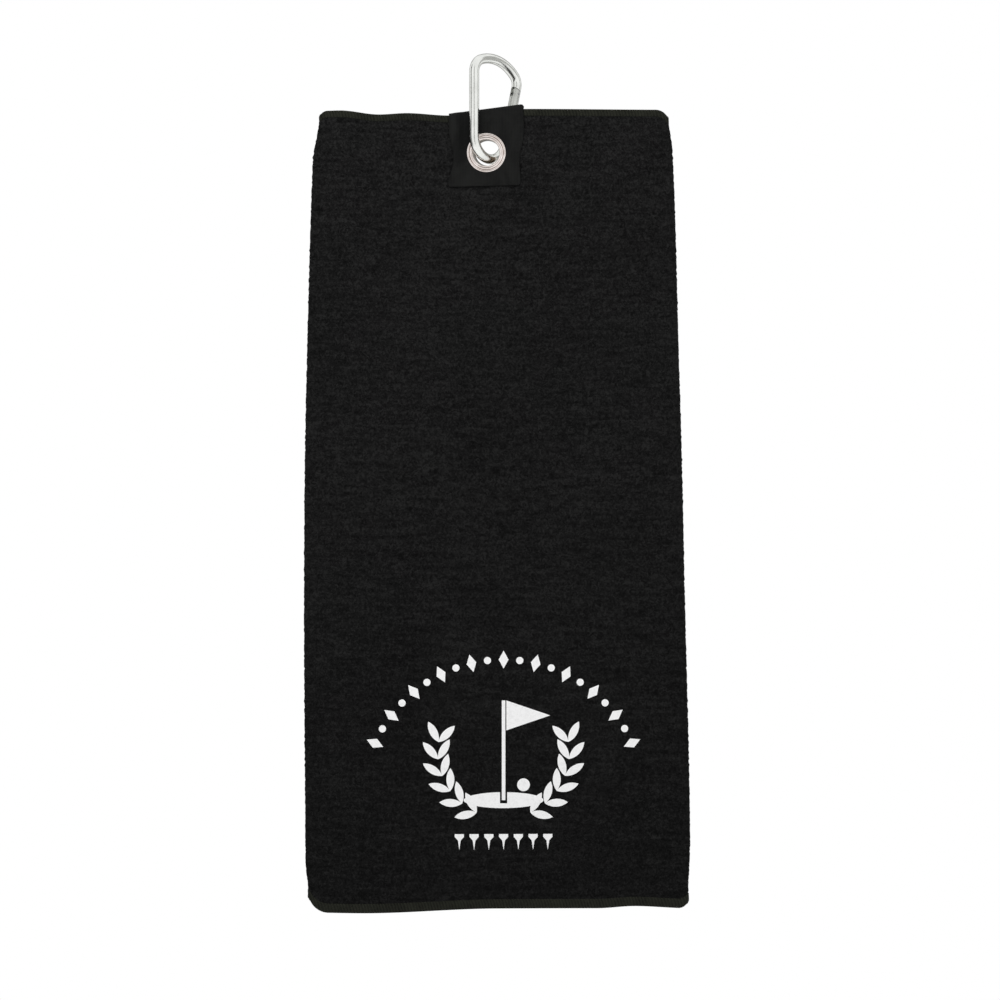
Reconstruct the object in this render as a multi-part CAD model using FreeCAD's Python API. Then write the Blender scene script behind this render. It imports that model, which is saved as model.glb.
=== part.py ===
import FreeCAD, Part
import math
import os

from FreeCAD import Placement, Rotation, Vector

# Millimetres. +Z is up, -Y is the printed front, and the origin is where the clip hangs.

# Towel, folded in thirds along its length
towelLength = 399.0
foldedWidthTop = 175.2
foldedWidthBottom = 192.0
clothThickness = 0.85
layerGap = 0.15
sideBow = 2.6            # how far each side edge bulges at mid length
centreDriftTop = 3.2     # eyelet to the middle of the panel, at the top
centreDriftBottom = 5.4  # and at the bottom
innerFlapInset = 5.0     # free edge of the inner flap, short of the right fold
outerFlapInset = 4.0     # free edge of the outer flap, short of the left fold

# Overlocked edges
topBandHeight = 3.6
bottomBandHeight = 4.8
flapBandWidth = 3.2

# Corner of the outer flap that turns back
cornerRise = 150.0       # along the free edge
cornerRun = 112.0        # along the bottom
creaseGap = 0.4

# Hanging tab over the top edge
tabWidth = 38.7
tabThickness = 0.35
tabDrop = 37.4           # from the towel's top edge down
tabTopRoom = 0.15

# Rolled eyelet
boreRadius = 6.65
flangeRadius = 9.9
flangeRise = 0.75
barrelWall = 0.4
lipWidth = 1.0
lipRise = 0.55
washerRoom = 0.05
eyeletDrop = 20.6        # from the towel's top edge to the eyelet's centre
holeRoom = 0.05

# Printed emblem
printThickness = 0.12
printWidth = 138.0
printHeight = 100.0
printRise = 28.6         # its lowest edge above the towel's bottom
printOffset = 8.7        # its middle, right of the eyelet
archCount = 21
archSpan = 66.0          # degrees either side of the top
archMark = 9.0
sprigRadius = 33.0
sprigHeight = 49.0
leafPairs = 6
leafLength = 11.5
leafWidth = 4.0
poleHeight = 50.0
poleWidth = 1.8
flagLength = 22.0
flagDrop = 15.0
greenLength = 40.0
greenDepth = 8.0
ballRadius = 3.2
teeCount = 7
teePitch = 7.4
teeHeight = 8.0
teeWidth = 4.6

# Spring clip, bent from one rod
rodDiameter = 5.0
clipYaw = 46.0           # degrees between the clip's plane and the towel
bendRadius = 11.4
cornerRadius = 7.0
crownRadius = 24.0
crownShift = 0.4         # crown's highest point, right of the lower bend's middle
clipHeight = 55.6
gateLean = 15.5          # degrees, outward going up
clipBelowEyelet = 5.4    # lowest point of the clip below the eyelet's centre
clipSpineOffset = 6.0    # spine's centre, left of the eyelet's centre
clipTowelShift = 2.25    # towel's middle plane, in front of the rod's crossing

# Gate and its fittings, measured along the gate from the end of the lower bend
gateShoulder = 0.6
pivotStation = 3.4
noseStation = 28.8
noseStub = 1.5           # straight end of the nose above the joint
jointSlant = 22.0        # degrees
jointGap = 0.3
tongueThickness = 2.2
tongueReach = 2.3        # past the pivot
tongueHalfWidth = 1.6
forkRoom = 0.12
forkDepth = 3.3
rivetRadius = 0.8
rivetHeadRadius = 1.35
rivetHeadHeight = 0.4
seatDepth = 0.35         # flat under each rivet head
runningRoom = 0.05
gateBore = 1.5
gateBoreDepth = 16.0
latchPinRadius = 0.6
latchPinSetback = 1.9    # from the joint face
latchRoom = 0.16
noseTongueThickness = 1.9
noseTongueLength = 3.4
noseSlotRoom = 0.15
plungerRoom = 0.08
plungerLift = 0.5        # tip clear of the tongue, so that the open gate does not press it
plungerLength = 3.4
plungerStem = 3.0
plungerStemRadius = 0.5
springWire = 0.42
springTurns = 7

rodRadius = rodDiameter / 2
stackHalf = 1.5 * clothThickness + layerGap
headHalf = stackHalf + tabThickness
bottomZ = eyeletDrop - towelLength
yaw = math.radians(clipYaw)
lean = math.radians(gateLean)
bendCentre = rodRadius + bendRadius - clipBelowEyelet
crownMiddle = Vector(crownShift, 0, clipHeight - clipBelowEyelet - rodRadius - crownRadius)
hangU = crownShift
hangV = crownMiddle.z + crownRadius - rodRadius
crossX = bendRadius * math.cos(yaw) - clipSpineOffset

# From the eyelet's centre to the hang point
towelPlace = Placement(Vector(-crossX - hangU * math.cos(yaw), -clipTowelShift - hangU * math.sin(yaw), -hangV),
                       Rotation())
clipPlace = Placement(Vector(), Rotation(Vector(0, 0, 1), clipYaw)) * Placement(Vector(-hangU, 0, -hangV), Rotation())
gateFoot = Vector(bendRadius * math.cos(lean), 0, bendCentre - bendRadius * math.sin(lean))
gatePlace = clipPlace * Placement(gateFoot, Rotation(Vector(0, 1, 0), gateLean))


def export(name, shape, place):
    placed = shape.copy()
    placed.Placement = place.multiply(placed.Placement)
    placed.exportStep("parts/" + name + ".step")


def boxAt(x0, x1, y0, y1, z0, z1):
    return Part.makeBox(x1 - x0, y1 - y0, z1 - z0, Vector(x0, y0, z0))


def cylinderY(radius, y0, y1, x=0, z=0):
    return Part.makeCylinder(radius, y1 - y0, Vector(x, y0, z), Vector(0, 1, 0))


def prismXZ(points, y0, y1):
    corners = [Vector(x, y0, z) for x, z in points]
    wire = Part.makePolygon(corners + corners[:1])
    return Part.Face(wire).extrude(Vector(0, y1 - y0, 0))


# ---- towel ----

def sideEdges(z):
    """Left and right fold at height z, the eyelet's centre being zero."""
    share = (eyeletDrop - z) / towelLength
    half = (foldedWidthTop + (foldedWidthBottom - foldedWidthTop) * share) / 2
    bow = sideBow * 4 * share * (1 - share)
    drift = centreDriftTop + (centreDriftBottom - centreDriftTop) * share
    return drift - half - bow, drift + half + bow


def foldedSection(z):
    """Closed outline of the three layers: outer flap, right fold, front, left fold, inner flap."""
    left, right = sideEdges(z)
    t, g = clothThickness, layerGap
    halfT = t / 2
    bigR, smallR = stackHalf, stackHalf - t
    leftBig, leftSmall = t + g / 2, g / 2
    leftY = -(t + g) / 2
    xr = right - bigR
    xl = left + leftBig
    flapX = left + outerFlapInset
    innerX = right - innerFlapInset
    points = [Vector(flapX, bigR, z), Vector(xr, bigR, z), Vector(right, 0, z), Vector(xr, -bigR, z),
              Vector(xl, -bigR, z), Vector(left, leftY, z), Vector(xl, halfT, z), Vector(innerX, halfT, z),
              Vector(innerX, -halfT, z), Vector(xl, -halfT, z), Vector(xl - leftSmall, leftY, z),
              Vector(xl, -halfT - g, z), Vector(xr, -smallR, z), Vector(xr + smallR, 0, z),
              Vector(xr, smallR, z), Vector(flapX, smallR, z)]
    edges = []
    arcs = {1: 3, 4: 6, 9: 11, 12: 14}
    i = 0
    while i < len(points):
        if i in arcs:
            edges.append(Part.Arc(points[i], points[i + 1], points[i + 2]).toShape())
            i = arcs[i]
        else:
            edges.append(Part.makeLine(points[i], points[(i + 1) % len(points)]))
            i += 1
    return Part.Wire(edges)


def foldedSheet(z0, z1, spans):
    stations = [z0 + (z1 - z0) * i / spans for i in range(spans + 1)]
    return Part.makeLoft([foldedSection(z) for z in stations], True, True)


def flapEdgeLine(z):
    return sideEdges(z)[0] + outerFlapInset


def cornerPrism(gap):
    """The turned corner's ground plan, through the outer flap only."""
    top = bottomZ + cornerRise
    start = Vector(flapEdgeLine(top), 0, top)
    end = Vector(flapEdgeLine(bottomZ) + cornerRun, 0, bottomZ)
    along = (end - start).normalize()
    inward = Vector(along.z, 0, -along.x)
    start = start - along * 40 + inward * gap
    end = end + along * 40 + inward * gap
    plan = [(start.x, start.z), (end.x, end.z), (start.x, end.z)]
    return prismXZ(plan, stackHalf - clothThickness - layerGap / 2, stackHalf + 2)


def edgeStrip():
    """Ground plan of the overlocked free edge of the outer flap, between the top and bottom bands."""
    z0, z1 = bottomZ + bottomBandHeight, eyeletDrop - topBandHeight
    steps = [z0 + (z1 - z0) * i / 6 for i in range(7)]
    plan = [(flapEdgeLine(z) - 9, z) for z in (z0, z1)]
    plan += [(flapEdgeLine(z) + flapBandWidth, z) for z in reversed(steps)]
    return prismXZ(plan, stackHalf - clothThickness - layerGap / 2, stackHalf + 2)


def makeTowel():
    body = foldedSheet(bottomZ + bottomBandHeight, eyeletDrop - topBandHeight, 6)
    body = body.cut(cylinderY(boreRadius + barrelWall + holeRoom, -9, 9))
    top = foldedSheet(eyeletDrop - topBandHeight, eyeletDrop, 1)
    bottom = foldedSheet(bottomZ, bottomZ + bottomBandHeight, 1)
    strip = edgeStrip()
    edge = body.common(strip)
    body = body.cut(strip)
    corner, kept = cornerPrism(creaseGap), cornerPrism(0)
    export("towel_cloth", body.cut(kept), towelPlace)
    export("flap_corner", body.common(corner), towelPlace)
    export("overlock_top", top, towelPlace)
    export("overlock_bottom", bottom.cut(kept), towelPlace)
    export("overlock_flap_edge", edge.cut(kept), towelPlace)
    export("overlock_corner_side", edge.common(corner), towelPlace)
    export("overlock_corner_hem", bottom.common(corner), towelPlace)


def makeTab():
    z0, z1 = eyeletDrop - tabDrop, eyeletDrop + tabTopRoom
    outer = boxAt(-tabWidth / 2, tabWidth / 2, -headHalf, headHalf, z0, z1)
    inner = boxAt(-tabWidth / 2, tabWidth / 2, -stackHalf, stackHalf, z0, z1)
    along = Vector(1, 0, 0)
    crown = Part.makeCylinder(headHalf, tabWidth, Vector(-tabWidth / 2, 0, z1), along)
    hollow = Part.makeCylinder(stackHalf, tabWidth, Vector(-tabWidth / 2, 0, z1), along)
    above = boxAt(-tabWidth, tabWidth, -9, 9, z1, z1 + 9)
    tab = outer.cut(inner).fuse(crown.cut(hollow).common(above)).removeSplitter()
    tab = tab.cut(cylinderY(boreRadius + barrelWall + holeRoom, -9, 9))
    export("hanging_tab", tab, towelPlace)


# ---- eyelet ----

def domeRing(inner, outer, face, rise):
    """Ring with a rolled face, standing off the plane y = face by rise; its sign gives the side."""
    middle = (inner + outer) / 2
    ends = [Vector(inner, face, 0), Vector(outer, face, 0)]
    points = [ends[0]]
    for i in range(1, 12):
        turn = math.pi * i / 12
        points.append(Vector(middle - (outer - inner) / 2 * math.cos(turn), face + rise * math.sin(turn), 0))
    points.append(ends[1])
    curve = Part.BSplineCurve()
    curve.interpolate(points)
    wire = Part.Wire([curve.toShape(), Part.makeLine(ends[1], ends[0])])
    return Part.Face(wire).revolve(Vector(), Vector(0, 1, 0), 360)


def makeEyelet():
    barrelOuter = boreRadius + barrelWall
    seat = barrelOuter + lipWidth
    barrel = cylinderY(barrelOuter, -headHalf, headHalf).cut(cylinderY(boreRadius, -9, 9))
    front = domeRing(boreRadius, flangeRadius, -headHalf, -flangeRise)
    lip = domeRing(boreRadius, seat, headHalf, lipRise)
    export("eyelet", barrel.fuse(front).fuse(lip).removeSplitter(), towelPlace)
    export("eyelet_washer", domeRing(seat + washerRoom, flangeRadius, headHalf, lipRise), towelPlace)


# ---- printed emblem ----

def leaf(x, z, angle, length, width):
    """Pointed oval between two arcs, starting at (x, z)."""
    a = math.radians(angle)
    along = Vector(math.cos(a), 0, math.sin(a))
    across = Vector(-along.z, 0, along.x)
    start = Vector(x, 0, z)
    end = start + along * length
    middle = start + along * (length / 2)
    arcs = [Part.Arc(start, middle + across * (width / 2), end).toShape(),
            Part.Arc(end, middle - across * (width / 2), start).toShape()]
    return Part.Face(Part.Wire(arcs)).extrude(Vector(0, -printThickness, 0))


def flatPiece(points):
    return prismXZ(points, -printThickness, 0)


def lozenge(x, z, turn, length, width):
    """Diamond centred on (x, z), its long diagonal at the given turn in radians."""
    along, across = (math.cos(turn), math.sin(turn)), (math.sin(turn), -math.cos(turn))
    tips = [(along, length / 2), (across, width / 2), (along, -length / 2), (across, -width / 2)]
    return flatPiece([(x + way[0] * reach, z + way[1] * reach) for way, reach in tips])


def archMarks():
    """Lozenges and round dots in turn, on an arch over the emblem."""
    marks = []
    span = math.radians(archSpan)
    radius = (printWidth / 2 - archMark / 2) / math.sin(span)
    for i in range(archCount):
        turn = math.pi / 2 + span - 2 * span * i / (archCount - 1)
        x = radius * math.cos(turn)
        z = printHeight - archMark / 2 + radius * (math.sin(turn) - 1)
        if i % 2 == 0:
            marks.append(lozenge(x, z, turn, archMark, archMark * 0.55))
        else:
            marks.append(cylinderY(archMark * 0.2, -printThickness, 0, x, z))
    return marks


def sprigs():
    """Two laurel sprigs that curve up either side of the flag."""
    leaves = []
    for side in (-1, 1):
        for i in range(leafPairs):
            turn = math.radians(270 + side * (24 + 15 * i))
            x, z = sprigRadius * math.cos(turn), sprigHeight + sprigRadius * math.sin(turn)
            for tilt in (-36, 36):
                leaves.append(leaf(x, z, math.degrees(turn) + side * 90 + tilt, leafLength, leafWidth))
    return leaves


def tee(x):
    """Golf tee standing on the emblem's lowest line."""
    half = teeWidth / 2
    return flatPiece([(x - half, teeHeight), (x - half, teeHeight - 1.4), (x - 0.7, teeHeight - 3.2), (x, 0),
                      (x + 0.7, teeHeight - 3.2), (x + half, teeHeight - 1.4), (x + half, teeHeight)])


def makeEmblem():
    pieces = archMarks() + sprigs()
    ground = sprigHeight - sprigRadius + 9
    poleTop = ground + poleHeight
    pieces.append(flatPiece([(-poleWidth / 2, ground), (poleWidth / 2, ground),
                             (poleWidth / 2, poleTop), (-poleWidth / 2, poleTop)]))
    pieces.append(flatPiece([(1.4, poleTop), (1.4 + flagLength, poleTop - flagDrop / 2), (1.4, poleTop - flagDrop)]))
    green = Part.Face(Part.Wire(Part.Ellipse(Vector(), greenLength / 2, greenDepth / 2).toShape()))
    green.rotate(Vector(), Vector(1, 0, 0), 90)
    green = green.extrude(Vector(0, -printThickness, 0))
    green.translate(Vector(0, 0, ground))
    pieces.append(green.cut(boxAt(-1.8, 1.8, -1, 1, ground - 1.6, ground + 9)))
    pieces.append(cylinderY(ballRadius, -printThickness, 0, 10, ground + greenDepth / 2 + ballRadius + 0.5))
    for i in range(teeCount):
        pieces.append(tee((i - (teeCount - 1) / 2) * teePitch))
    emblem = Part.makeCompound(pieces)
    emblem.translate(Vector(printOffset, -stackHalf, bottomZ + printRise))
    export("emblem_print", emblem, towelPlace)


# ---- spring clip ----

def pointOn(middle, radius, way):
    return middle + Vector(way).normalize() * radius


def clipPath():
    """Centre line in the clip's plane, from the gate's foot round to the nose."""
    gateWay = Vector(math.sin(lean), 0, math.cos(lean))
    gateSide = Vector(math.cos(lean), 0, -math.sin(lean))
    start = gateFoot + gateWay * gateShoulder
    lowest = Vector(0, 0, bendCentre - bendRadius)
    cornerU = cornerRadius - bendRadius
    reach = crownRadius - cornerRadius
    cornerMiddle = Vector(cornerU, 0, crownMiddle.z + math.sqrt(reach ** 2 - (cornerU - crownShift) ** 2))
    noseEnd = gateFoot + gateWay * (noseStation + noseStub)
    span = noseEnd - crownMiddle
    noseRadius = (crownRadius ** 2 - span.Length ** 2) / 2 / (crownRadius - span.dot(gateSide))
    noseMiddle = noseEnd - gateSide * noseRadius
    spineLow = Vector(-bendRadius, 0, bendCentre)
    spineTop = Vector(-bendRadius, 0, cornerMiddle.z)
    crownStart = pointOn(crownMiddle, crownRadius, cornerMiddle - crownMiddle)
    crownEnd = pointOn(crownMiddle, crownRadius, noseMiddle - crownMiddle)
    overCorner = pointOn(cornerMiddle, cornerRadius, crownStart + spineTop - cornerMiddle * 2)
    overCrown = crownMiddle + Vector(0, 0, crownRadius)
    overNose = pointOn(noseMiddle, noseRadius, crownEnd + noseEnd - noseMiddle * 2)
    edges = [Part.makeLine(start, gateFoot), Part.Arc(gateFoot, lowest, spineLow).toShape(),
             Part.makeLine(spineLow, spineTop), Part.Arc(spineTop, overCorner, crownStart).toShape(),
             Part.Arc(crownStart, overCrown, crownEnd).toShape(), Part.Arc(crownEnd, overNose, noseEnd).toShape()]
    return start, Part.Wire(edges)


def rodSweep():
    start, path = clipPath()
    along = Vector(math.sin(lean), 0, math.cos(lean))
    ring = Part.Wire(Part.makeCircle(rodRadius, start, along))
    return path.makePipeShell([ring], True, False)


def slantBlock(side):
    """Half space on one side of the slanted joint, in the gate's own frame: +1 above, -1 below."""
    block = boxAt(-9, 9, -9, 9, 0, 20) if side > 0 else boxAt(-9, 9, -9, 9, -60, 0)
    block.rotate(Vector(), Vector(0, 1, 0), jointSlant)
    block.translate(Vector(0, 0, noseStation + (jointGap / 2 if side > 0 else -jointGap / 2)))
    return block


def noseTip():
    """End of the nose below its arc, with the tongue that the latch pin catches on."""
    stub = Part.makeCylinder(rodRadius, 2 * noseStub, Vector(0, 0, noseStation - noseStub)).common(slantBlock(1))
    low = noseStation - noseTongueLength
    half = noseTongueThickness / 2
    tongue = boxAt(-0.9, 1.9, -half, half, low, noseStation + noseStub)
    pinZ = noseStation - latchPinSetback
    notch = cylinderY(latchPinRadius + latchRoom, -9, 9, 0, pinZ)
    mouth = boxAt(-9, 0, -9, 9, pinZ - latchPinRadius - latchRoom, pinZ + latchPinRadius + latchRoom)
    return stub, tongue.cut(notch).cut(mouth)


def pivotTongue():
    half = tongueThickness / 2
    blade = boxAt(-tongueHalfWidth, tongueHalfWidth, -half, half, gateShoulder - 1.0, pivotStation + tongueReach)
    return blade.cut(cylinderY(rivetRadius, -9, 9, 0, pivotStation))


def makeClipFrame():
    frame = rodSweep()
    local = gatePlace.inverse().multiply(clipPlace)
    frame.Placement = local.multiply(frame.Placement)
    stub, tongue = noseTip()
    frame = frame.fuse([stub, tongue, pivotTongue()])
    export("clip_frame", frame, gatePlace)


def makeGate():
    gate = Part.makeCylinder(rodRadius, noseStation + 6).common(slantBlock(-1))
    heel = cylinderY(pivotStation - gateShoulder - jointGap, -9, 9, 0, pivotStation)
    gate = gate.common(heel.fuse(boxAt(-9, 9, -9, 9, pivotStation, 60)))
    fork = tongueThickness / 2 + forkRoom
    gate = gate.cut(boxAt(-9, 9, -fork, fork, -1, pivotStation + forkDepth))
    slot = noseTongueThickness / 2 + noseSlotRoom
    gate = gate.cut(boxAt(-9, 9, -slot, slot, noseStation - noseTongueLength - 0.4, 60))
    gate = gate.cut(Part.makeCylinder(gateBore, gateBoreDepth, Vector(0, 0, pivotStation)))
    gate = gate.cut(cylinderY(rivetRadius + runningRoom, -9, 9, 0, pivotStation))
    gate = gate.cut(cylinderY(latchPinRadius, -9, 9, 0, noseStation - latchPinSetback))
    seat = rodRadius - seatDepth
    for side in (-1, 1):
        pad = cylinderY(rivetHeadRadius + 0.15, seat, 9, 0, pivotStation)
        pad = pad if side > 0 else pad.mirror(Vector(), Vector(0, 1, 0))
        gate = gate.cut(pad)
    export("clip_gate", gate, gatePlace)
    return seat


def makeRivet(seat):
    rivet = cylinderY(rivetRadius, -seat - 0.1, seat + 0.1, 0, pivotStation)
    for side in (-1, 1):
        head = cylinderY(rivetHeadRadius, seat + runningRoom, seat + runningRoom + rivetHeadHeight, 0, pivotStation)
        head = head.makeFillet(0.2, [head.Edges[0] if head.Edges[0].CenterOfMass.y > seat + 0.2 else head.Edges[2]])
        head = head if side > 0 else head.mirror(Vector(), Vector(0, 1, 0))
        rivet = rivet.fuse(head)
    export("gate_pivot_rivet", rivet, gatePlace)


def makeLatchPin():
    half = math.sqrt(rodRadius ** 2 - latchPinRadius ** 2)
    export("gate_latch_pin", cylinderY(latchPinRadius, -half, half, 0, noseStation - latchPinSetback), gatePlace)


def makePlungerAndSpring():
    foot = pivotStation + tongueReach + plungerLift
    plunger = Part.makeCylinder(gateBore - plungerRoom, plungerLength, Vector(0, 0, foot))
    stem = Part.makeCylinder(plungerStemRadius, plungerStem, Vector(0, 0, foot + plungerLength))
    export("gate_plunger", plunger.fuse(stem), gatePlace)
    low = foot + plungerLength + springWire / 2 + 0.02
    high = pivotStation + gateBoreDepth - springWire / 2 - 0.02
    coil = gateBore - plungerRoom - springWire / 2
    helix = Part.makeHelix((high - low) / springTurns, high - low, coil)
    ring = Part.Wire(Part.makeCircle(springWire / 2, Vector(coil, 0, 0), Vector(0, 1, 0)))
    spring = Part.Wire(helix).makePipeShell([ring], True, True)
    spring.translate(Vector(0, 0, low))
    export("gate_spring", spring, gatePlace)


os.makedirs("parts", exist_ok=True)
makeTowel()
makeTab()
makeEyelet()
makeEmblem()
makeClipFrame()
rivetSeat = makeGate()
makeRivet(rivetSeat)
makeLatchPin()
makePlungerAndSpring()
print("eyelet", towelPlace.Base, "pivot", gatePlace.multVec(Vector(0, 0, pivotStation)))
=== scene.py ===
import bmesh
import bpy
import math
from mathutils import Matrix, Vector, noise


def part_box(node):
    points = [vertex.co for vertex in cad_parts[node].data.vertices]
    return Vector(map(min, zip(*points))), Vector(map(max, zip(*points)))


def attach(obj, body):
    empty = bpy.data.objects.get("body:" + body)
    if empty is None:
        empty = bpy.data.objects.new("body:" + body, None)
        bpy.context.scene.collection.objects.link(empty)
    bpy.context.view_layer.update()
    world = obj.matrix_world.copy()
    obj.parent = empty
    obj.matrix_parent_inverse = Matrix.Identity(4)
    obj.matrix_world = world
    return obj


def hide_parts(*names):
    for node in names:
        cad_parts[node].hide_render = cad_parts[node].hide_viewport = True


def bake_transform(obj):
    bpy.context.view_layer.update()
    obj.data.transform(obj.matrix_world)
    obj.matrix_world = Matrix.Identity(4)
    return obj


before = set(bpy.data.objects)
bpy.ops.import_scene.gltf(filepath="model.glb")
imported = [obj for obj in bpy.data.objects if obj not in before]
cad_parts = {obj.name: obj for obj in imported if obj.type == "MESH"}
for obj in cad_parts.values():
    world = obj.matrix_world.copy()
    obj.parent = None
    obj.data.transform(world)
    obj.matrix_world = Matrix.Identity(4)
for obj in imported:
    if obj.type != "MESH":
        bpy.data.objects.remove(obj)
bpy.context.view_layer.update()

# Places that everything is built from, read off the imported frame
tabLow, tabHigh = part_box("hanging_tab")
eyeLow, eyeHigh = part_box("eyelet")
topLow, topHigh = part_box("overlock_top")
hemLow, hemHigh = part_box("overlock_bottom")
middleY = (tabLow.y + tabHigh.y) / 2
tabHalf = (tabHigh.y - tabLow.y) / 2    # from the folded stack's middle to the tab's face
towelHeight = topHigh.z - hemLow.z
eye = Vector(((eyeLow.x + eyeHigh.x) / 2, middleY, (eyeLow.z + eyeHigh.z) / 2))
print("frame loaded")


# One socket of a node tree: arithmetic on it adds Math nodes
class Flow:

    def __init__(self, tree, socket):
        self.tree = tree
        self.socket = socket

    def maths(self, operation, first, second):
        node = self.tree.nodes.new("ShaderNodeMath")
        node.operation = operation
        for place, value in enumerate((first, second)):
            if isinstance(value, Flow):
                self.tree.links.new(value.socket, node.inputs[place])
            else:
                node.inputs[place].default_value = value
        return Flow(self.tree, node.outputs[0])

    def __add__(self, other):
        return self.maths("ADD", self, other)

    def __radd__(self, other):
        return self.maths("ADD", other, self)

    def __sub__(self, other):
        return self.maths("SUBTRACT", self, other)

    def __rsub__(self, other):
        return self.maths("SUBTRACT", other, self)

    def __mul__(self, other):
        return self.maths("MULTIPLY", self, other)

    def __rmul__(self, other):
        return self.maths("MULTIPLY", other, self)


# A node tree, and the few kinds of node that the finishes are made of
class Nodes:

    def __init__(self, tree):
        self.tree = tree

    # Settings go first, because some of them change which sockets a node has
    def node(self, kind, settings=None, inputs=None, output=0):
        node = self.tree.nodes.new("ShaderNode" + kind)
        for key, value in (settings or {}).items():
            if key == "stops":
                self.setStops(node.color_ramp, value)
            else:
                setattr(node, key, value)
        for key, value in (inputs or {}).items():
            if isinstance(value, Flow):
                self.tree.links.new(value.socket, node.inputs[key])
            else:
                node.inputs[key].default_value = value
        return Flow(self.tree, node.outputs[output])

    def setStops(self, ramp, stops):
        while len(ramp.elements) < len(stops):
            ramp.elements.new(0.5)
        for element, (place, shade) in zip(ramp.elements, stops):
            element.position = place
            element.color = (*shade, 1) if isinstance(shade, tuple) else (shade, shade, shade, 1)

    def place(self, scale=(1, 1, 1)):
        where = self.node("TexCoord", output="Object")
        return self.node("Mapping", None, {"Vector": where, "Scale": scale})

    def noise(self, where, scale, detail=3.0, rough=0.55, distortion=0.0):
        return self.node("TexNoise", None, {"Vector": where, "Scale": scale, "Detail": detail,
                                            "Roughness": rough, "Distortion": distortion})

    def bands(self, where, direction, scale, distortion):
        return self.node("TexWave",
                         {"wave_type": "BANDS", "bands_direction": direction, "wave_profile": "SIN"},
                         {"Vector": where, "Scale": scale, "Distortion": distortion,
                          "Detail": 2.0, "Detail Scale": 2.0})

    def ramp(self, value, stops):
        return self.node("ValToRGB", {"stops": stops}, {"Fac": value})

    # The colour sockets of a Mix node are its inputs 6 and 7 and its output 2
    def blend(self, factor, first, second):
        shades = [(*shade, 1) if isinstance(shade, tuple) else shade for shade in (first, second)]
        return self.node("Mix", {"data_type": "RGBA"}, {0: factor, 6: shades[0], 7: shades[1]}, 2)

    def bump(self, height, strength, distance):
        return self.node("Bump", None, {"Height": height, "Strength": strength, "Distance": distance})


# A material: constants are set on its shader's sockets, and feed links what varies
class Finish(Nodes):

    def __init__(self, name, **constants):
        self.material = bpy.data.materials.new(name)
        self.material.use_nodes = True
        super().__init__(self.material.node_tree)
        self.shader = self.tree.nodes["Principled BSDF"]
        for socket, value in constants.items():
            self.shader.inputs[socket.replace("_", " ")].default_value = value

    def feed(self, **links):
        for socket, value in links.items():
            self.tree.links.new(value.socket, self.shader.inputs[socket.replace("_", " ")])
        return self


microfibre = {
    "deep": (0.0020, 0.0020, 0.0020),
    "shade": (0.0067, 0.0067, 0.0067),
    "lift": (0.0157, 0.0157, 0.0155),
    "curlScale": 500.0,
    "loopScale": 760.0,
    "rowScale": 520.0,
    "rowStretch": (0.14, 0.4, 1.0),
    "patchScale": 14.0,
    "paintedShadePerMetre": 5.0,    # painted shade: a little darker toward the hem, where less light falls
    "pileHeight": 0.0008,
}


def makeMicrofibre():
    finish = Finish("blackMicrofibre", Roughness=0.97, Sheen_Weight=0.05, Sheen_Roughness=0.5,
                    Specular_IOR_Level=0.08)
    where = finish.place()
    curls = finish.noise(where, microfibre["curlScale"], 1.5, 0.5, 1.6)
    loops = finish.noise(where, microfibre["loopScale"], 2.0, 0.6, 0.9)
    rows = finish.noise(finish.place(microfibre["rowStretch"]), microfibre["rowScale"], 2.0, 0.5, 0.3)
    patches = finish.noise(where, microfibre["patchScale"], 3.0, 0.5, 0.4)
    # Painted shade: the cloth turns a little darker toward the hem, where the light falls off, broken up by
    # the patches
    height = finish.node("SeparateXYZ", None, {"Vector": where}, "Z")
    rise = (height - hemLow.z) * microfibre["paintedShadePerMetre"] + (patches - 0.5) * 0.5
    paintedTopLight = finish.ramp(rise, [(0.0, 0.0), (1.0, 1.0)])
    pile = curls * 0.42 + loops * 0.36 + rows * 0.22
    tone = pile * 0.90 + patches * 0.06 + paintedTopLight * 0.035
    colour = finish.ramp(tone, [(0.405, microfibre["deep"]), (0.51, microfibre["shade"]),
                                (0.62, microfibre["lift"])])
    relief = finish.bump(pile, 0.8, microfibre["pileHeight"])
    return finish.feed(Base_Color=colour, Normal=relief).material


thread = {
    "dark": (0.0037, 0.0040, 0.0026),
    "light": (0.0193, 0.0203, 0.0144),
    "fibreScale": 1300.0,
    "wearScale": 150.0,
    "stitchScale": 405.0,
    "stitchStretch": (1.0, 1.0, 0.3),
}


def makeThread():
    finish = Finish("blackOverlock", Roughness=0.85, Sheen_Weight=0.05, Sheen_Roughness=0.4,
                    Specular_IOR_Level=0.15)
    where = finish.place()
    fibre = finish.noise(where, thread["fibreScale"], 3.0, 0.6, 0.8)
    turns = finish.bands(finish.place(thread["stitchStretch"]), "DIAGONAL", thread["stitchScale"], 1.4)
    wear = finish.noise(where, thread["wearScale"], 3.0, 0.5)
    tone = fibre * 0.46 + wear * 0.36 + turns * 0.18
    colour = finish.ramp(tone, [(0.32, thread["dark"]), (0.68, thread["light"])])
    relief = finish.bump(fibre * 0.5 + turns * 0.5, 0.6, 0.0003)
    return finish.feed(Base_Color=colour, Normal=relief).material


tape = {
    "dark": (0.0028, 0.0029, 0.0028),
    "light": (0.0098, 0.0100, 0.0095),
    "warpScale": 420.0,
    "weftScale": 480.0,
    "sheenCloudScale": 110.0,
    "sheenCloudStretch": (1.0, 1.0, 0.5),
}


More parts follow.
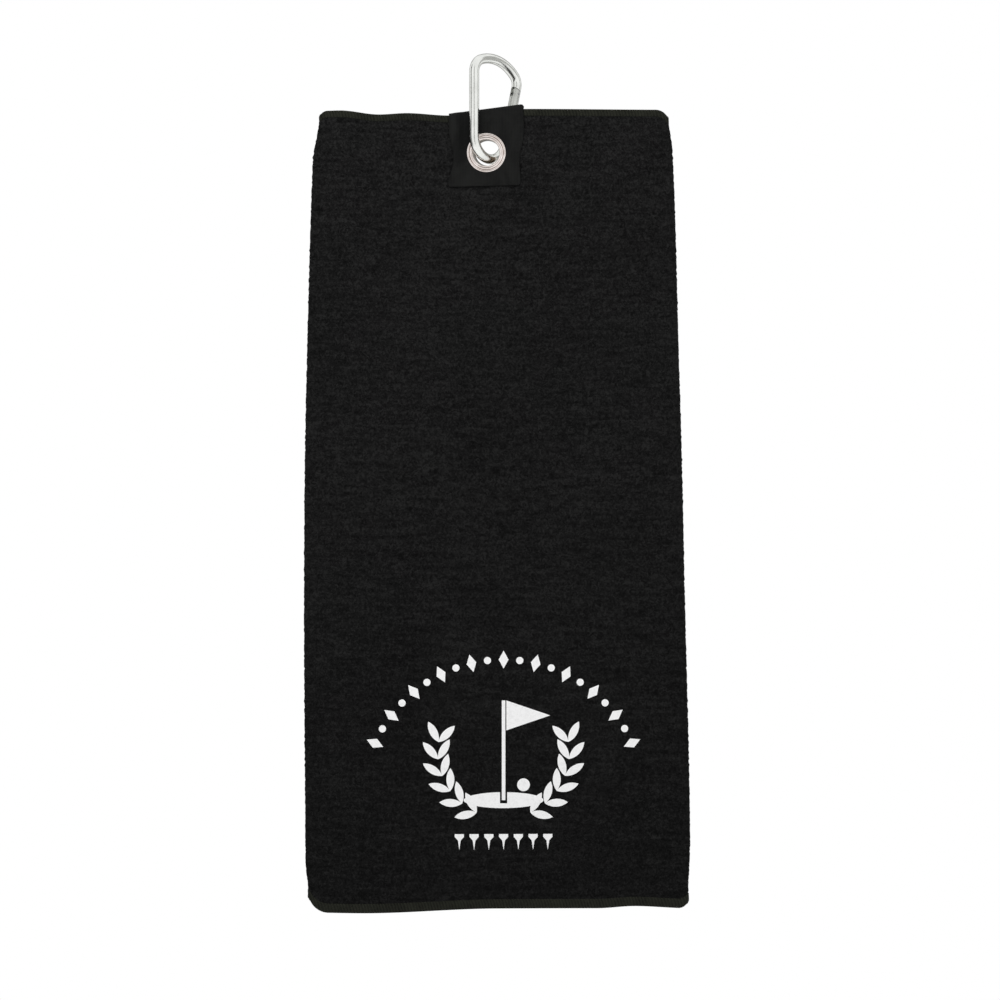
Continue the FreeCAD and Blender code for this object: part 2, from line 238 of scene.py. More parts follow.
def makeTape():
    finish = Finish("blackTape", Sheen_Weight=0.02, Sheen_Roughness=0.35, Specular_IOR_Level=0.14)
    where = finish.place()
    warp = finish.bands(where, "X", tape["warpScale"], 0.6)
    weft = finish.bands(where, "Z", tape["weftScale"], 0.6)
    weave = warp * 0.5 + weft * 0.5
    # Upright clouds: random mottling of the tape, with lighter streaks that paint its sheen
    cloudsAndSheen = finish.noise(finish.place(tape["sheenCloudStretch"]), tape["sheenCloudScale"], 3.0, 0.6, 0.6)
    tone = cloudsAndSheen * 0.75 + weave * 0.25
    colour = finish.ramp(tone, [(0.38, tape["dark"]), (0.62, tape["light"])])
    rough = 0.74 + cloudsAndSheen * 0.14
    return finish.feed(Base_Color=colour, Roughness=rough, Normal=finish.bump(weave, 0.3, 0.0001)).material


metal = {
    "smearScale": 160.0,
    "grainStretch": (1.0, 1.0, 0.25),
    "barrelHalf": 0.0018,      # how far the eyelet's barrel reaches each way from the middle
    "perMetre": 278.0,         # one over the barrel's length
}


# Bright metal with faint smears; a dark colour paints shade and the dark cloth's reflection into an eyelet's
# barrel
def makeMetal(name, tint, worn, rough, grain, barrelShade=None):
    finish = Finish(name, Metallic=1.0)
    where = finish.place()
    smear = finish.noise(where, metal["smearScale"], 3.0, 0.55, 0.3)
    fine = finish.noise(finish.place(metal["grainStretch"]), grain, 2.0, 0.5)
    colour = finish.ramp(smear, [(0.38, tint), (0.70, worn)])
    # Painted shade and reflection on the barrel's inner wall, fading out at its front and back
    if barrelShade:
        depth = finish.node("SeparateXYZ", None, {"Vector": where}, "Y")
        inward = (depth - (middleY - metal["barrelHalf"])) * metal["perMetre"]
        shade = finish.ramp(inward, [(0.0, 0.0), (0.2, 1.0), (0.9, 1.0), (1.0, 0.0)])
        colour = finish.blend(shade, colour, barrelShade)
    roughness = rough + fine * 0.05 + smear * 0.05
    relief = finish.bump(smear, 0.015, 0.0002)
    return finish.feed(Base_Color=colour, Roughness=roughness, Normal=relief).material


film = {"thin": (0.90, 0.90, 0.90), "full": (1.0, 1.0, 1.0), "pileScale": 620.0, "pileHeight": 0.00025}


def makePrint():
    finish = Finish("whitePrint", Specular_IOR_Level=0.4)
    pile = finish.noise(finish.place(), film["pileScale"], 3.0, 0.6, 1.0)
    thick = finish.ramp(pile, [(0.3, 0.0), (0.55, 1.0)])
    colour = finish.blend(thick, film["thin"], film["full"])
    rough = 0.36 + pile * 0.2
    relief = finish.bump(pile, 0.25, film["pileHeight"])
    return finish.feed(Base_Color=colour, Roughness=rough, Normal=relief).material


finishes = {
    "cloth": makeMicrofibre(),
    "thread": makeThread(),
    "tape": makeTape(),
    "aluminium": makeMetal("polishedAluminium", (0.85, 0.86, 0.83), (0.74, 0.75, 0.72), 0.14, 900.0),
    # The gate's darker tint is painted shade and dark reflections from the cloth; its higher roughness is its
    # satin finish
    "gateMetal": makeMetal("satinAluminiumShaded", (0.56, 0.57, 0.54), (0.46, 0.47, 0.44), 0.26, 1100.0),
    # The last colour is the painted shade and reflection inside the eyelet's barrel
    "nickel": makeMetal("nickelPlate", (0.90, 0.83, 0.80), (0.68, 0.60, 0.56), 0.10, 700.0,
                        (0.16, 0.12, 0.085)),
    "washer": makeMetal("nickelWasher", (0.80, 0.74, 0.71), (0.60, 0.53, 0.50), 0.18, 700.0),
    "steel": makeMetal("steelPin", (0.52, 0.52, 0.53), (0.38, 0.38, 0.39), 0.24, 1200.0),
    "print": makePrint(),
}
print("finishes ready")


towel = {
    "thickness": 0.00095,    # one layer with its pile pressed down
    "pitch": 0.00100,        # from one layer's middle to the next
    "flapInset": 0.0040,
    "innerInset": 0.0050,
    "bow": 0.0026,           # how far the sides bulge halfway down
    "stepTop": 0.0004,       # each layer behind lies this much lower at the top
    "stepHem": 0.0005,       # and this much higher at the hem
    "flapLayer": 0.6,        # the outer flap counts as this much of a layer
    "rowStep": 0.00105,
    "serration": 0.00042,    # loops standing out along the folds
    "relief": 0.00012,       # unevenness of the pile
    "edgeInset": 0.0005,     # the cloth ends inside its overlocked edge
    "hole": 0.0086,          # radius cut for the eyelet
    "flapStart": 4.012,      # station where the outer flap takes over from the front's mesh
    "frontFlat": (0.373, 0.399),
    "flapFlat": (0.188, 0.399),
    "bandTop": topHigh.z - topLow.z,
    "bandHem": hemHigh.z - hemLow.z,
}

# Radii of the folded corners
corners = {"topLeft": 0.004, "topRight": 0.0065, "hemLeft": 0.010, "hemRight": 0.005}

# How far the edges lie from straight, in mm: (place from 0 to 1, offset)
edgeDrift = {
    "left": [(0.0, 0.9), (0.06, -1.6), (0.35, -1.3), (0.95, 0.2), (1.0, 1.6)],
    "right": [(0.0, 0.5), (0.04, 1.7), (0.35, 0.3), (0.6, 0.0), (0.92, 1.1), (1.0, 0.0)],
    "top": [(0.0, 0.3), (0.06, 0.6), (0.17, -1.4), (0.25, -0.7), (0.37, -1.9), (0.6, 1.4), (1.0, 1.0)],
    "hem": [(0.0, -2.6), (0.15, -3.0), (0.5, -0.8), (0.76, -0.8), (0.86, 0.3), (1.0, -0.7)],
}


# Smooth value of a short list of (place, value) pairs
def along(points, place):
    place = min(max(place, points[0][0]), points[-1][0])
    for (a, low), (b, high) in zip(points, points[1:]):
        if place <= b:
            t = (place - a) / (b - a)
            return low + (high - low) * t * t * (3 - 2 * t)
    return points[-1][1]


# Left and right fold, share going from 0 at the top to 1 at the hem
def sides(share):
    bow = towel["bow"] * 4 * share * (1 - share)
    left = topLow.x + (hemLow.x - topLow.x) * share - bow + along(edgeDrift["left"], share) / 1000
    right = topHigh.x + (hemHigh.x - topHigh.x) * share + bow + along(edgeDrift["right"], share) / 1000
    return left, right


def roundedCorner(distance, radius):
    if distance >= radius:
        return 0.0
    return radius - math.sqrt(max(0.0, radius ** 2 - (radius - max(distance, 0.0)) ** 2))


# Heights of the top edge and the hem over x, for one layer of the fold
def edgeHeights(x, left, right, layer):
    across = (x - left) / (right - left)
    top = topHigh.z + along(edgeDrift["top"], across) / 1000 - towel["stepTop"] * layer
    hem = hemLow.z + along(edgeDrift["hem"], across) / 1000 + towel["stepHem"] * layer
    top -= roundedCorner(x - left, corners["topLeft"]) + roundedCorner(right - x, corners["topRight"])
    hem += roundedCorner(x - left, corners["hemLeft"]) + roundedCorner(right - x, corners["hemRight"])
    return top, hem


lie = {
    "reachX": 0.09,          # the eyelet's hold fades out over about these distances
    "reachZ": 0.11,
    "held": 0.32,
    "broadTop": 0.0006,      # depth of the broad waves at the top, and what the hem adds to it
    "broadMore": 0.0011,
    "fine": 0.00035,
    "rolls": 0.0006,
}


# Soft lie of the whole stack, nothing at the tab, where the eyelet clamps it
def sway(x, z):
    away = math.hypot((x - eye.x) / lie["reachX"], (z - eye.z) / lie["reachZ"])
    hold = min(1.0, max(0.0, away - lie["held"])) ** 1.5
    drop = (topHigh.z - z) / towelHeight
    wave = math.sin((x - eye.x) * 19 + 0.7) * (lie["broadTop"] + lie["broadMore"] * drop)
    wave += math.sin((x - eye.x) * 41 - z * 9 + 1.1) * lie["fine"]
    wave += math.sin(z * 17 + x * 6) * lie["rolls"]
    return wave * hold


# Middle of the cloth on the folded path: x, y from the stack's middle, and the layer it belongs to.
# The station runs 0-1 inner flap, 1-2 left fold, 2-3 front, 3-4 right fold, 4-5 outer flap.
def foldPoint(station, left, right):
    half, pitch = towel["thickness"] / 2, towel["pitch"]
    leftX = left + half + pitch / 2
    rightX = right - half - pitch
    part = min(int(station), 4)
    share = station - part
    if part == 0:
        start = right - towel["innerInset"]
        return start + (leftX - start) * share, 0.0, 1
    if part == 1:
        turn = math.pi / 2 + math.pi * share
        return leftX + pitch / 2 * math.cos(turn), -pitch / 2 + pitch / 2 * math.sin(turn), 1 - share
    if part == 2:
        return leftX + (rightX - leftX) * share, -pitch, 0
    if part == 3:
        turn = -math.pi / 2 + math.pi * share
        return rightX + pitch * math.cos(turn), pitch * math.sin(turn), share * towel["flapLayer"]
    return rightX + (left + towel["flapInset"] - rightX) * share, pitch, towel["flapLayer"]


# Place on the folded towel at a station of the path and a share down from its top edge.
# An inset pulls in the top and the hem.
def clothPoint(station, share, inset=0.0):
    left, right = sides(share)
    x, y, layer = foldPoint(station, left, right)
    top, hem = edgeHeights(x, left, right, layer)
    z = top - inset + (hem - top + 2 * inset) * share
    fold = 0.0
    if 1 < station < 2:
        fold = -math.sin((station - 1) * math.pi)
    elif 3 < station < 4:
        fold = math.sin((station - 3) * math.pi)
    rough = noise.noise(Vector((z * 620, 3.1, y * 200)))
    rough += 0.5 * noise.noise(Vector((z * 1500, 9.0, y * 300)))
    x += fold * rough * towel["serration"]
    relief = noise.noise(Vector((x * 90, z * 90, layer * 3.0))) * towel["relief"]
    return Vector((x, middleY + y + sway(x, z) + relief, z))


# A grid whose corners are put where placeFor says, column by column
def gridPiece(columns, rows, placeFor):
    bm = bmesh.new()
    bmesh.ops.create_grid(bm, x_segments=len(columns) - 1, y_segments=len(rows) - 1, size=1.0)
    for vert in bm.verts:
        i = round((vert.co.x + 1) / 2 * (len(columns) - 1))
        j = round((vert.co.y + 1) / 2 * (len(rows) - 1))
        vert.co = placeFor(columns[i], rows[j])
    return bm


def addPiece(name, bm, finish, body=None, replaced=()):
    mesh = bpy.data.meshes.new(name)
    bm.to_mesh(mesh)
    bm.free()
    for polygon in mesh.polygons:
        polygon.use_smooth = True
    piece = bpy.data.objects.new(name, mesh)
    bpy.context.scene.collection.objects.link(piece)
    mesh.materials.append(finishes[finish])
    if body:
        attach(piece, body)
    if replaced:
        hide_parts(*replaced)
    return piece


def thicken(piece, thickness):
    shell = piece.modifiers.new("thickness", "SOLIDIFY")
    shell.thickness = thickness
    shell.offset = 0.0
    shell.use_quality_normals = True


def fromEye(place):
    return math.hypot(place.x - eye.x, place.z - eye.z)


# Opens a sheet where the eyelet passes
def cutHole(bm, radius):
    near = [face for face in bm.faces if fromEye(face.calc_center_median()) < radius]
    bmesh.ops.delete(bm, geom=near, context="FACES")
    for vert in bm.verts:
        reach = fromEye(vert.co)
        if reach < radius:
            vert.co.x = eye.x + (vert.co.x - eye.x) * radius / reach
            vert.co.z = eye.z + (vert.co.z - eye.z) * radius / reach


def spread(start, end, count):
    return [start + (end - start) * i / count for i in range(count + 1)]


# Adds closely spaced stations where a layer passes the eyelet, so that its hole can be cut round
def throughEyelet(part, stations):
    left, right = sides((topHigh.z - eye.z) / towelHeight)
    start = foldPoint(part + 0.0001, left, right)[0]
    end = foldPoint(part + 0.9999, left, right)[0]
    extra = [part + (eye.x + step / 1000 - start) / (end - start)    # a millimetre apart
             for step in spread(-11.0, 11.0, 22)]
    first, last = min(extra), max(extra)
    return sorted([station for station in stations if not first < station < last] + extra)


rowCount = int(towelHeight / towel["rowStep"])
rowShares = spread(0.0, 1.0, rowCount)


def bendAtCrease(piece):
    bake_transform(piece)


def insetCloth(station, share):
    return clothPoint(station, share, towel["edgeInset"])


def makeCloth():
    inner = throughEyelet(0, spread(0.0, 1.0, 14))
    leftFold = spread(1.0, 2.0, 10)[1:]
    front = throughEyelet(2, spread(2.0, 3.0, 48)[1:])
    rightFold = spread(3.0, 4.0, 12)[1:]
    bm = gridPiece(inner + leftFold + front + rightFold + [towel["flapStart"]], rowShares, insetCloth)
    cutHole(bm, towel["hole"])
    piece = addPiece("towel_front_and_inner_flap", bm, "cloth", "towel", ("towel_cloth",))
    thicken(piece, towel["thickness"])


def makeOuterFlap():
    bm = gridPiece(throughEyelet(4, spread(towel["flapStart"], 5.0, 78)), rowShares, insetCloth)
    cutHole(bm, towel["hole"])
    piece = addPiece("towel_outer_flap", bm, "cloth", None, ("flap_corner",))
    thicken(piece, towel["thickness"])
    bendAtCrease(piece)


overlock = {
    "stitch": 0.00155,      # from one stitch to the next
    "ridge": 0.00017,
    "wrap": 0.00068,        # how far the thread stands out from the cloth's middle
    "slant": 0.35,
    "fray": 0.00006,
    "steps": 6,             # mesh columns to a stitch
    "around": 16,
    "sideWidth": 0.0032,    # the edge down the outer flap's free side
    "sideOut": 0.0003,      # how far it stands past the cloth's end
    "sideAround": 12,
}


# Point on the oval section of an overlocked edge: out of the cloth, and along it from the edge inward
def bandProfile(turn, height):
    c, s = math.cos(turn), math.sin(turn)
    out = math.copysign(abs(c) ** 0.45, c) * overlock["wrap"]
    inward = (1 - math.copysign(abs(s) ** 0.6, s)) / 2 * height
    return out, inward


def stitchRidge(distance, inward):
    phase = (distance + overlock["slant"] * inward) / overlock["stitch"]
    return overlock["ridge"] * abs(math.sin(math.pi * phase)) ** 0.7


def closeTube(bm):
    bmesh.ops.remove_doubles(bm, verts=bm.verts, dist=1e-6)
    loose = [edge for edge in bm.edges if edge.is_boundary]
    bmesh.ops.holes_fill(bm, edges=loose, sides=0)
    bmesh.ops.recalc_face_normals(bm, faces=bm.faces)


# Overlocked band on the top edge or the hem, following the folded path
def bandAlongFold(stations, atTop):
    height = towel["bandTop"] if atTop else towel["bandHem"]
    share = 0.0 if atTop else 1.0
    paths, run, last = {}, 0.0, None
    for station in stations:
        here = clothPoint(station, share)
        run += (here - last).length if last else 0.0
        last = here
        paths[station] = (here, run)

    def place(station, turn):
        here, distance = paths[station]
        out, inward = bandProfile(turn, height)
        out += math.copysign(stitchRidge(distance, inward), out)
        ahead = clothPoint(min(station + 0.004, 5.0), share)
        behind = clothPoint(max(station - 0.004, 0.0), share)
        way = Vector((ahead.x - behind.x, ahead.y - behind.y, 0)).normalized()
        side = Vector((way.y, -way.x, 0))
        fray = noise.noise(Vector((distance * 700, inward * 300, 5.0))) * overlock["fray"]
        return here + side * (out + fray) + Vector((0, 0, -inward if atTop else inward))

    bm = gridPiece(stations, spread(0.0, 2 * math.pi, overlock["around"]), place)
    closeTube(bm)
    return bm


# Stations close enough together to carry the stitches
def foldStations(start, end):
    lengths = {0: 0.18, 1: 0.0016, 2: 0.185, 3: 0.0032, 4: 0.18}    # each part of the path, in metres
    found = []
    for part in range(int(start), min(int(end) + 1, 5)):
        low, high = max(start, part), min(end, part + 1)
        if high > low:
            step = overlock["stitch"] / overlock["steps"] * (3 if part == 0 else 1)
            count = max(10 if part in (1, 3) else 1, int(lengths[part] * (high - low) / step))
            found += spread(low, high, count)[1 if found else 0:]
    return found


def makeBands():
    addPiece("overlock_top_edge", bandAlongFold(foldStations(0.0, 5.0), True), "thread", "towel",
             ("overlock_top",))
    addPiece("overlock_hem", bandAlongFold(foldStations(0.0, towel["flapStart"]), False), "thread", "towel",
             ("overlock_bottom",))
    flapHem = addPiece("overlock_flap_hem", bandAlongFold(foldStations(towel["flapStart"], 5.0), False),
                       "thread", None, ("overlock_corner_hem",))
    bendAtCrease(flapHem)


# The long overlocked edge of the outer flap, down its free side
def makeFlapEdge():
    first = towel["bandTop"] / towelHeight * 0.9
    last = 1 - towel["bandHem"] / towelHeight * 0.9
    shares = spread(first, last, int(towelHeight / overlock["stitch"] * 5))

    def place(share, turn):
        here = insetCloth(5.0, share)
        out, inward = bandProfile(turn, overlock["sideWidth"])
        out += math.copysign(stitchRidge(share * towelHeight, inward), out)
        return here + Vector((inward - overlock["sideOut"], out, 0))

    bm = gridPiece(shares, spread(0.0, 2 * math.pi, overlock["sideAround"]), place)
    closeTube(bm)
    piece = addPiece("overlock_flap_side", bm, "thread", None, ("overlock_flap_edge", "overlock_corner_side"))
    bendAtCrease(piece)


makeCloth()
makeOuterFlap()
makeBands()
makeFlapEdge()
print("towel folded")


tab = {
    "thickness": 0.00042,
    "hole": 0.0080,
    "pinchLeft": 0.0030,      # how far the sides draw in at the waist
    "pinchRight": 0.0018,
    "waist": 0.55,            # where that is, from the top at 0 to the foot at 1
    "over": 0.07,             # share of the length that rolls over the towel's top edge
    "crown": 0.0016,
    "dropLeft": 0.0032,       # the top line slopes up from left to right
    "slope": 0.0049,
    "rightTuck": 0.0022,
    "footFlare": 0.0011,
    "footSlope": 0.0010,
    "puff": 0.00045,
    "crease": 0.10,           # place of a soft ridge down the left, and of the dip beside it
    "creaseLift": 0.0006,
    "dip": 0.19,
    "dipDepth": 0.0004,
    "held": 0.0102,           # the eyelet clamps the tape flat inside this radius
    "easing": 0.006,          # and lets it go over this distance
    "waver": 0.0006,          # of the two sides
    "cornerDrop": 0.0012,     # at the top right corner
}


# u runs from 0 at the left to 1 at the right.
# v runs from -1 at the front's lower edge, over the top at 0, to 1 behind.
def tabPlace(u, v):
    width = tabHigh.x - tabLow.x
    drop = abs(v)
    foot, top = tabLow.z, tabHigh.z - tab["crown"]
    waist = math.exp(-((drop - tab["waist"]) / 0.26) ** 2)
    x = tabLow.x + width * u
    x += waist * (tab["pinchLeft"] * (1 - u) ** 3 - tab["pinchRight"] * u ** 3)
    x += tab["waver"] * math.sin(drop * 9 + 1) * (1 - 2 * u)
    x -= tab["rightTuck"] * u ** 3 * max(0.0, drop - 0.5) * 2
    nearFoot = max(0.0, (drop - 0.94) / 0.06)
    x += tab["footFlare"] * nearFoot ** 2 * (max(0.0, 1 - u / 0.06) - max(0.0, (u - 0.94) / 0.06))
    rise = tab["slope"] * u - tab["dropLeft"] - tab["cornerDrop"] * max(0.0, (u - 0.965) / 0.035) ** 2
    if drop < tab["over"]:
        turn = (1 - drop / tab["over"]) * math.pi / 2
        y = tabHalf * math.cos(turn)
        z = top + rise + tabHalf * math.sin(turn)
    else:
        share = (drop - tab["over"]) / (1 - tab["over"])
        y = tabHalf
        z = top + (foot - top) * share + rise * (1 - share) + tab["footSlope"] * (u - 0.5) * share
    near = math.hypot(x - eye.x, z - eye.z)
    loose = min(1.0, max(0.0, (near - tab["held"]) / tab["easing"]))
    lift = loose * (tab["puff"] * (0.6 + 0.4 * math.sin(u * 9 + drop * 4)))
    lift += tab["creaseLift"] * math.exp(-((u - tab["crease"]) / 0.05) ** 2) * loose
    lift -= tab["dipDepth"] * math.exp(-((u - tab["dip"]) / 0.03) ** 2) * loose
    return Vector((x, middleY + (1 if v > 0 else -1) * (y + lift), z))


def makeTab():
    bm = gridPiece(spread(0.0, 1.0, 46), spread(-1.0, 1.0, 96), tabPlace)
    cutHole(bm, tab["hole"])
    piece = addPiece("tab_tape", bm, "tape", "towel", ("hanging_tab",))
    thicken(piece, tab["thickness"])


eyelet = {
    "bore": 0.00665,
    "wall": 0.0004,
    "taper": 0.00045,         # the barrel narrows toward the back
    "backShift": 0.00090,     # and leans this far, which shows its inner wall
    "groove": 0.00135,        # from the rim in to the groove between the two rolls
    "lipHeight": 0.00068,
    "rimHeight": 0.00060,
    "backRoll": 0.0007,
    "backHeight": 0.00055,
    "barrelReach": 0.002,     # what lies this far out from the barrel doesn't lean
    "sunk": 0.00008,          # the washer's foot, in the cloth
    "washerGap": 0.00150,
    "washerHeight": 0.0006,
    "steps": 96,
}


# Points on an arc, as (radius from the eyelet's axis, y from the stack's middle)
def arcPoints(centre, radii, start, end, count):
    turns = [math.radians(angle) for angle in spread(start, end, count)]
    return [(centre[0] + radii[0] * math.cos(turn), centre[1] + radii[1] * math.sin(turn)) for turn in turns]


# Turns a closed outline about the eyelet's axis
def spinPiece(name, outline, finish, replaced):
    bm = bmesh.new()
    bmesh.ops.create_circle(bm, segments=len(outline), radius=1.0)
    for vert, (radius, y) in zip(bm.verts, outline):
        vert.co = (eye.x + radius, middleY + y, eye.z)
    bmesh.ops.spin(bm, geom=bm.verts[:] + bm.edges[:], cent=eye, axis=(0, 1, 0), angle=2 * math.pi,
                   steps=eyelet["steps"], use_merge=True)
    bmesh.ops.remove_doubles(bm, verts=bm.verts, dist=1e-7)
    bmesh.ops.recalc_face_normals(bm, faces=bm.faces)
    return addPiece(name, bm, finish, "towel", replaced)


def makeEyelet():
    bore, wall, seat = eyelet["bore"], eyelet["wall"], tabHalf
    rim = (eyeHigh.x - eyeLow.x) / 2
    back = bore - eyelet["taper"]
    groove = rim - eyelet["groove"]
    outer = (rim - groove) / 2
    lip = (groove - bore) / 2
    roll = eyelet["backRoll"]
    outline = arcPoints((bore + lip, -seat - 0.00006), (lip, eyelet["lipHeight"]), 180, 352, 18)
    outline += arcPoints((rim - outer, -seat + 0.00002), (outer, eyelet["rimHeight"]), 190, 360, 14)
    outline += [(rim - wall, -seat + 0.0001), (groove, -seat - 0.00002), (bore + wall, -seat + 0.0002)]
    outline += [(back + wall, seat - 0.00005), (back + 2 * roll, seat)]
    outline += arcPoints((back + roll, seat), (roll, eyelet["backHeight"]), 0, 180, 10)[1:]
    piece = spinPiece("eyelet_rolled", outline, "nickel", ("eyelet",))
    for vert in piece.data.vertices:
        if fromEye(vert.co) < back + eyelet["barrelReach"]:
            share = max(0.0, vert.co.y - middleY + seat) / (2 * seat)
            vert.co.x += eyelet["backShift"] * share


def makeWasher():
    low, high = eyelet["bore"] + eyelet["washerGap"], (eyeHigh.x - eyeLow.x) / 2
    outline = arcPoints(((low + high) / 2, tabHalf), ((high - low) / 2, eyelet["washerHeight"]), 0, 180, 14)
    outline += [(low, tabHalf - eyelet["sunk"]), (high, tabHalf - eyelet["sunk"])]
    spinPiece("eyelet_back_washer", outline, "washer", ("eyelet_washer",))


makeTab()
makeEyelet()
makeWasher()
print("tab and eyelet ready")


emblem = {
    "cell": 0.004,          # the film is cut into cells that can follow the cloth
    "proud": 0.00022,
    "greenProud": 0.00017,  # the green lies under the leaves that cross it
    "greenWidth": 0.03,     # only the green is wider than this
    "sunk": 0.00025,
}


# Groups of verts that are joined by edges
def islands(bm):
    left, groups = set(bm.verts), []
    while left:
        group, waiting = set(), [left.pop()]
        while waiting:
            vert = waiting.pop()
            group.add(vert)
            for link in vert.link_edges:
                other = link.other_vert(vert)
                if other in left:
                    left.discard(other)
                    waiting.append(other)
        groups.append(group)
    return groups


def cutIntoCells(bm, low, high):
    for axis in (0, 2):
        for cut in spread(low[axis], high[axis], int((high[axis] - low[axis]) / emblem["cell"]))[1:-1]:
            point, normal = Vector(), Vector()
            point[axis], normal[axis] = cut, 1.0
            bmesh.ops.bisect_plane(bm, geom=bm.verts[:] + bm.edges[:] + bm.faces[:], plane_co=point,
                                   plane_no=normal, dist=1e-7)


# The printed shapes, laid on the cloth and following it
def makeEmblem():
    bm = bmesh.new()
    bm.from_mesh(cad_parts["emblem_print"].data)
    bmesh.ops.remove_doubles(bm, verts=bm.verts, dist=1e-6)
    bmesh.ops.dissolve_limit(bm, angle_limit=math.radians(1), verts=bm.verts, edges=bm.edges)
    low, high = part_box("emblem_print")
    cutIntoCells(bm, low, high)
    bmesh.ops.triangulate(bm, faces=bm.faces)
    surface = -towel["pitch"] - towel["thickness"] / 2
    for group in islands(bm):
        width = max(vert.co.x for vert in group) - min(vert.co.x for vert in group)
        proud = emblem["greenProud"] if width > emblem["greenWidth"] else emblem["proud"]
        for vert in group:
            outer = vert.co.y < (low.y + high.y) / 2
            offset = proud if outer else -emblem["sunk"]
            vert.co.y = middleY + surface + sway(vert.co.x, vert.co.z) - offset
    piece = addPiece("emblem_transfer", bm, "print", "towel", ("emblem_print",))
    for polygon in piece.data.polygons:
        polygon.use_smooth = False


makeEmblem()
print("emblem ready")


# The spring clip keeps its CAD meshes
clipFinishes = {
    "clip_frame": "aluminium",
    "clip_gate": "gateMetal",
    "gate_pivot_rivet": "steel",
    "gate_latch_pin": "steel",
    "gate_plunger": "steel",
    "gate_spring": "steel",
}

for node, finish in clipFinishes.items():
    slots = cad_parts[node].data.materials
    slots.clear()
    slots.append(finishes[finish])
print("clip finished")


studio = {
    "world": 0.44,
    "floorDrop": 0.17,        # below the hem
    "floorHalf": 1.5,
    "floorForward": 0.85,
    "floorShade": 0.95,
    "floorGlow": 0.16,
    "fadeFrom": 0.34,         # the floor turns to the backdrop's white between these reaches
    "fadeTo": 0.63,
    "distance": 1.60,         # of the camera
    "view": 0.502,            # width that it sees there
    "lookRight": 0.0069,
    "lookDown": 0.1742,
    "aimDown": 0.15,
}

lamps = {
    "keyLamp": {"place": (-0.25, -0.75, 0.45), "size": 0.7, "power": 7.5},
    "fillLamp": {"place": (1.2, -1.1, 0.1), "size": 0.8, "power": 1.9},
    "backLamp": {"place": (0.5, 1.2, 0.35), "size": 0.8, "power": 6.0},
}

# Grey cards round the set, seen only in reflections, so that the bright metal has edges
cards = {
    "cardBack": {"azimuth": 180, "reach": 0.95, "width": 2.4, "height": 2.4, "shade": 0.42},
    "cardFront": {"azimuth": 0, "reach": 1.25, "width": 0.34, "height": 1.6, "shade": 0.36},
    "cardLeft": {"azimuth": -74, "reach": 0.90, "width": 0.36, "height": 1.6, "shade": 0.22},
    "cardRight": {"azimuth": 94, "reach": 0.90, "width": 0.30, "height": 1.6, "shade": 0.42},
}


# White wherever it is seen, and dimmer as a light
def makeWorld():
    world = bpy.data.worlds.new("studio")
    bpy.context.scene.world = world
    world.use_nodes = True
    nodes = Nodes(world.node_tree)
    background = world.node_tree.nodes["Background"]
    background.inputs["Color"].default_value = (1, 1, 1, 1)
    camera = nodes.node("LightPath", output="Is Camera Ray")
    glossy = nodes.node("LightPath", output="Is Glossy Ray")
    clear = nodes.node("LightPath", output="Is Transmission Ray")
    seen = camera.maths("MINIMUM", camera + glossy + clear, 1.0)
    strength = studio["world"] + seen * (1.0 - studio["world"])
    world.node_tree.links.new(strength.socket, background.inputs["Strength"])


# A flat square of the set
def addSetPiece(name, half, placeFor, finish):
    bm = bmesh.new()
    bmesh.ops.create_grid(bm, x_segments=1, y_segments=1, size=half)
    for vert in bm.verts:
        vert.co = placeFor(vert.co.x, vert.co.y)
    mesh = bpy.data.meshes.new(name)
    bm.to_mesh(mesh)
    bm.free()
    mesh.materials.append(finish.material)
    piece = bpy.data.objects.new(name, mesh)
    bpy.context.scene.collection.objects.link(piece)
    piece.visible_diffuse = False
    return piece


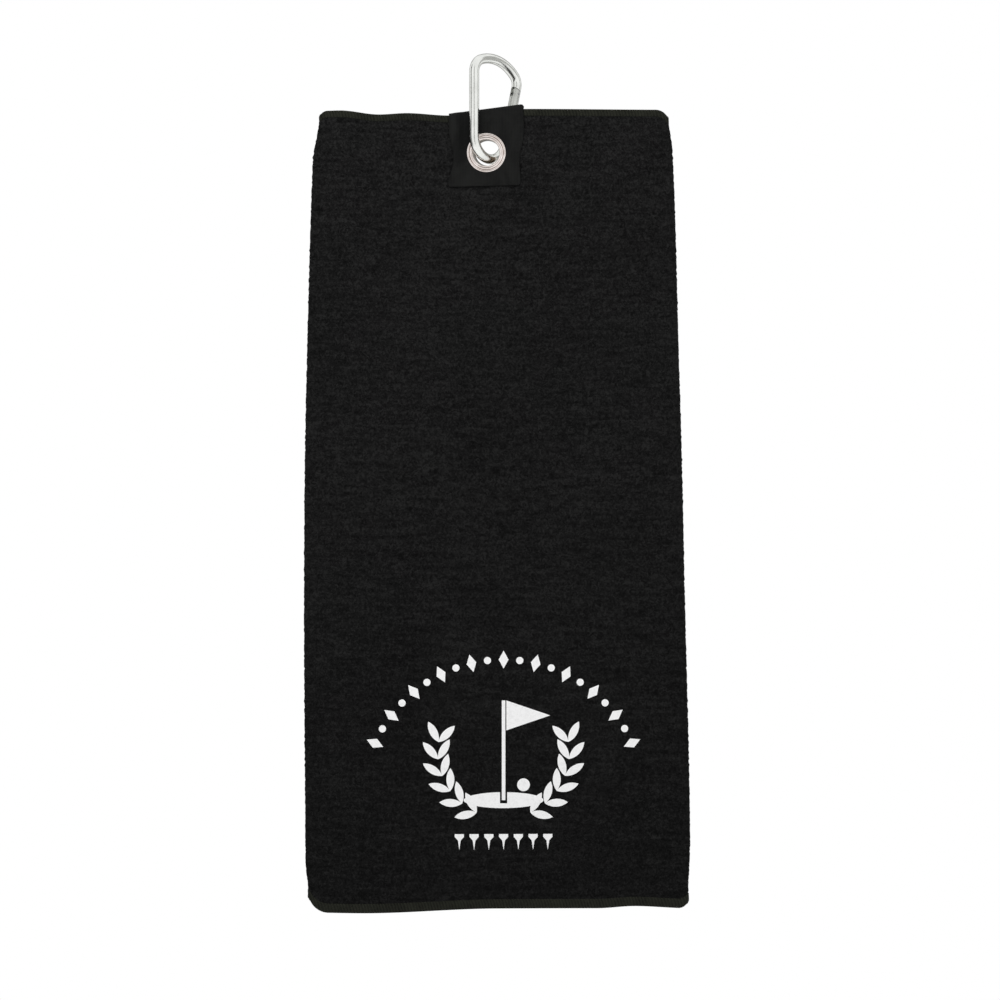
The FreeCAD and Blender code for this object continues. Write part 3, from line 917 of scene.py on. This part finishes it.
def makeFloor():
    finish = Finish("paleFloor", Roughness=0.8, Specular_IOR_Level=0.0, Emission_Strength=1.0)
    reach = finish.node("VectorMath", {"operation": "LENGTH"}, {0: finish.place((1, 1, 0))}, "Value")
    fade = finish.ramp(reach, [(studio["fadeFrom"], 0.0), (studio["fadeTo"], 1.0)])
    glow = (studio["floorGlow"],) * 3
    pale = (studio["floorShade"],) * 3
    finish.feed(Base_Color=finish.blend(fade, pale, (0.0, 0.0, 0.0)),
                Emission_Color=finish.blend(fade, glow, (1.0, 1.0, 1.0)))

    def place(a, b):
        return Vector((a, b - studio["floorForward"], hemLow.z - studio["floorDrop"]))

    addSetPiece("floor", studio["floorHalf"], place, finish)


def makeCard(name, card):
    turn = math.radians(card["azimuth"])
    shade = card["shade"]
    finish = Finish(name, Roughness=1.0, Base_Color=(0, 0, 0, 1), Specular_IOR_Level=0.0,
                    Emission_Color=(shade, shade, shade * 0.97, 1), Emission_Strength=1.0)

    def place(a, b):
        across = a * card["width"]
        x = card["reach"] * math.sin(turn) + across * math.cos(turn)
        y = across * math.sin(turn) - card["reach"] * math.cos(turn)
        return Vector((x, y, b * card["height"]))

    piece = addSetPiece(name, 0.5, place, finish)
    piece.visible_camera = False
    piece.visible_shadow = False


def makeLamp(name, lamp, aim):
    light = bpy.data.lights.new(name, "AREA")
    light.size = lamp["size"]
    light.energy = lamp["power"]
    piece = bpy.data.objects.new(name, light)
    bpy.context.scene.collection.objects.link(piece)
    piece.location = lamp["place"]
    piece.visible_glossy = False
    piece.visible_camera = False
    piece.rotation_euler = (aim - Vector(lamp["place"])).to_track_quat("-Z", "Y").to_euler()


def makeCamera():
    data = bpy.data.cameras.new("camera")
    data.sensor_width = 36.0
    data.lens = data.sensor_width * studio["distance"] / studio["view"]
    camera = bpy.data.objects.new("camera", data)
    bpy.context.scene.collection.objects.link(camera)
    camera.location = (eye.x + studio["lookRight"], middleY - studio["distance"], eye.z - studio["lookDown"])
    camera.rotation_euler = (math.pi / 2, 0, 0)
    bpy.context.scene.camera = camera


makeWorld()
makeFloor()
aim = Vector((0, 0, eye.z - studio["aimDown"]))
for name, lamp in lamps.items():
    makeLamp(name, lamp, aim)
for name, card in cards.items():
    makeCard(name, card)
bpy.context.scene.view_settings.view_transform = "Standard"
makeCamera()
print("studio ready")
